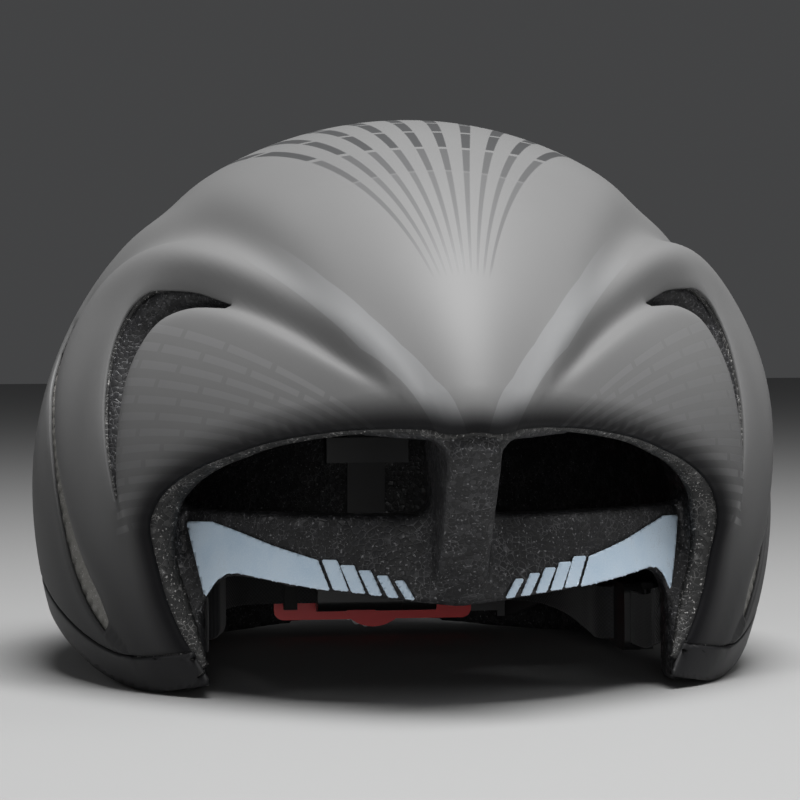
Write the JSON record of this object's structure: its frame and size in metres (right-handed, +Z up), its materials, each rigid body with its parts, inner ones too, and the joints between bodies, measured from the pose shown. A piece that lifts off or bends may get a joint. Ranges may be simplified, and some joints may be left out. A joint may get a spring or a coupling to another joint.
{
  "type": "aero road bike helmet",
  "caption": "Aero road bike helmet with a moulded shell, foam liner, front intake, side vents, pads, straps and a dial-adjusted cradle.",
  "frame": {"origin": "middle of the bounding box in plan, on the table plane that the ears and the rear rim stand on", "axes": "+Z up; -Y towards the front of the helmet; +X towards the wearer's left, the image's right"},
  "size_m": [0.2108, 0.289, 0.154],
  "materials": {
    "shell": "matte",
    "wrap": "satin",
    "foam": "beaded foam",
    "sticker": "reflective",
    "padding": "soft knit",
    "hook_tape": "hooks",
    "webbing": "woven",
    "black_plastic": "moulded",
    "buckle_plastic": "moulded",
    "arm_plastic": "smooth",
    "rubber_ring": "matte",
    "red_plastic": "satin",
    "white_plastic": "moulded",
    "clear_plastic": "frosted",
    "screw_steel": "plain"
  },
  "bodies": {
    "helmet": {"outer_shell": "shell", "lower_wrap": "wrap", "eps_liner": "foam", "brow_sticker_left": "sticker", "brow_sticker_right": "sticker", "brow_pad": "padding", "crown_pad_left": "padding", "crown_pad_right": "padding", "side_pad_left": "padding", "side_pad_right": "padding", "rear_pad_left": "padding", "rear_pad_right": "padding", "hook_dots": "hook_tape", "temple_anchor_left": "black_plastic", "temple_anchor_right": "black_plastic", "strap_anchors": "black_plastic", "front_webbing_left": "webbing", "front_webbing_right": "webbing", "rear_webbing_left": "webbing", "rear_webbing_right": "webbing", "divider_left": "black_plastic", "divider_right": "black_plastic", "chin_strap_left": "webbing", "chin_strap_right": "webbing", "chin_pad": "padding", "keeper_ring": "rubber_ring", "buckle_socket": "buckle_plastic", "hanger_guide": "black_plastic"},
    "left_cam": {"cam_lever_left": "black_plastic"},
    "right_cam": {"cam_lever_right": "black_plastic"},
    "plug": {"buckle_plug": "buckle_plastic"},
    "cradle_body": {"temple_ring_left": "arm_plastic", "temple_ring_right": "arm_plastic", "side_arm_left": "arm_plastic", "side_arm_right": "arm_plastic", "cradle": "red_plastic", "cradle_cover": "black_plastic", "cradle_screws": "screw_steel", "hanger_strap": "arm_plastic", "occipital_pad_left": "padding", "occipital_pad_right": "padding"},
    "dial": {"dial_wheel": "clear_plastic", "dial_cap": "red_plastic", "pinion": "white_plastic"},
    "left_rack": {"rack_left": "arm_plastic"},
    "right_rack": {"rack_right": "arm_plastic"}
  },
  "joints": [
    {"name": "cradle_tilt", "type": "hinge", "parent": "helmet", "child": "cradle_body", "pos_m": [0, -0.035, 0.03], "axis": [1, 0, 0], "range_deg": [0, 6]},
    {"name": "dial_turn", "type": "hinge", "parent": "cradle_body", "child": "dial", "pos_m": [0, 0.09, 0.014], "axis": [0, 1, 0], "range_deg": [0, 120]},
    {"name": "left_rack_slide", "type": "slide", "parent": "cradle_body", "child": "left_rack", "axis": [1, 0, 0], "range_m": [0, 0.0085], "deforming": ["side_arm_left"]},
    {"name": "right_rack_slide", "type": "slide", "parent": "cradle_body", "child": "right_rack", "axis": [-1, 0, 0], "range_m": [0, 0.0085], "deforming": ["side_arm_right"]},
    {"name": "plug_slide", "type": "slide", "parent": "helmet", "child": "plug", "axis": [1, 0, 0], "range_m": [0, 0.022], "deforming": ["chin_strap_right"]},
    {"name": "left_cam_turn", "type": "hinge", "parent": "helmet", "child": "left_cam", "pos_m": [-0.0686, -0.002, 0.0124], "axis": [0, 0, 1], "range_deg": [0, 80]},
    {"name": "right_cam_turn", "type": "hinge", "parent": "helmet", "child": "right_cam", "pos_m": [0.0686, -0.002, 0.0124], "axis": [0, 0, -1], "range_deg": [0, 80]}
  ],
  "couplings": [
    {"joint": "left_rack_slide", "follows": "dial_turn", "m_per_rad": 0.004},
    {"joint": "right_rack_slide", "follows": "dial_turn", "m_per_rad": 0.004}
  ]
}
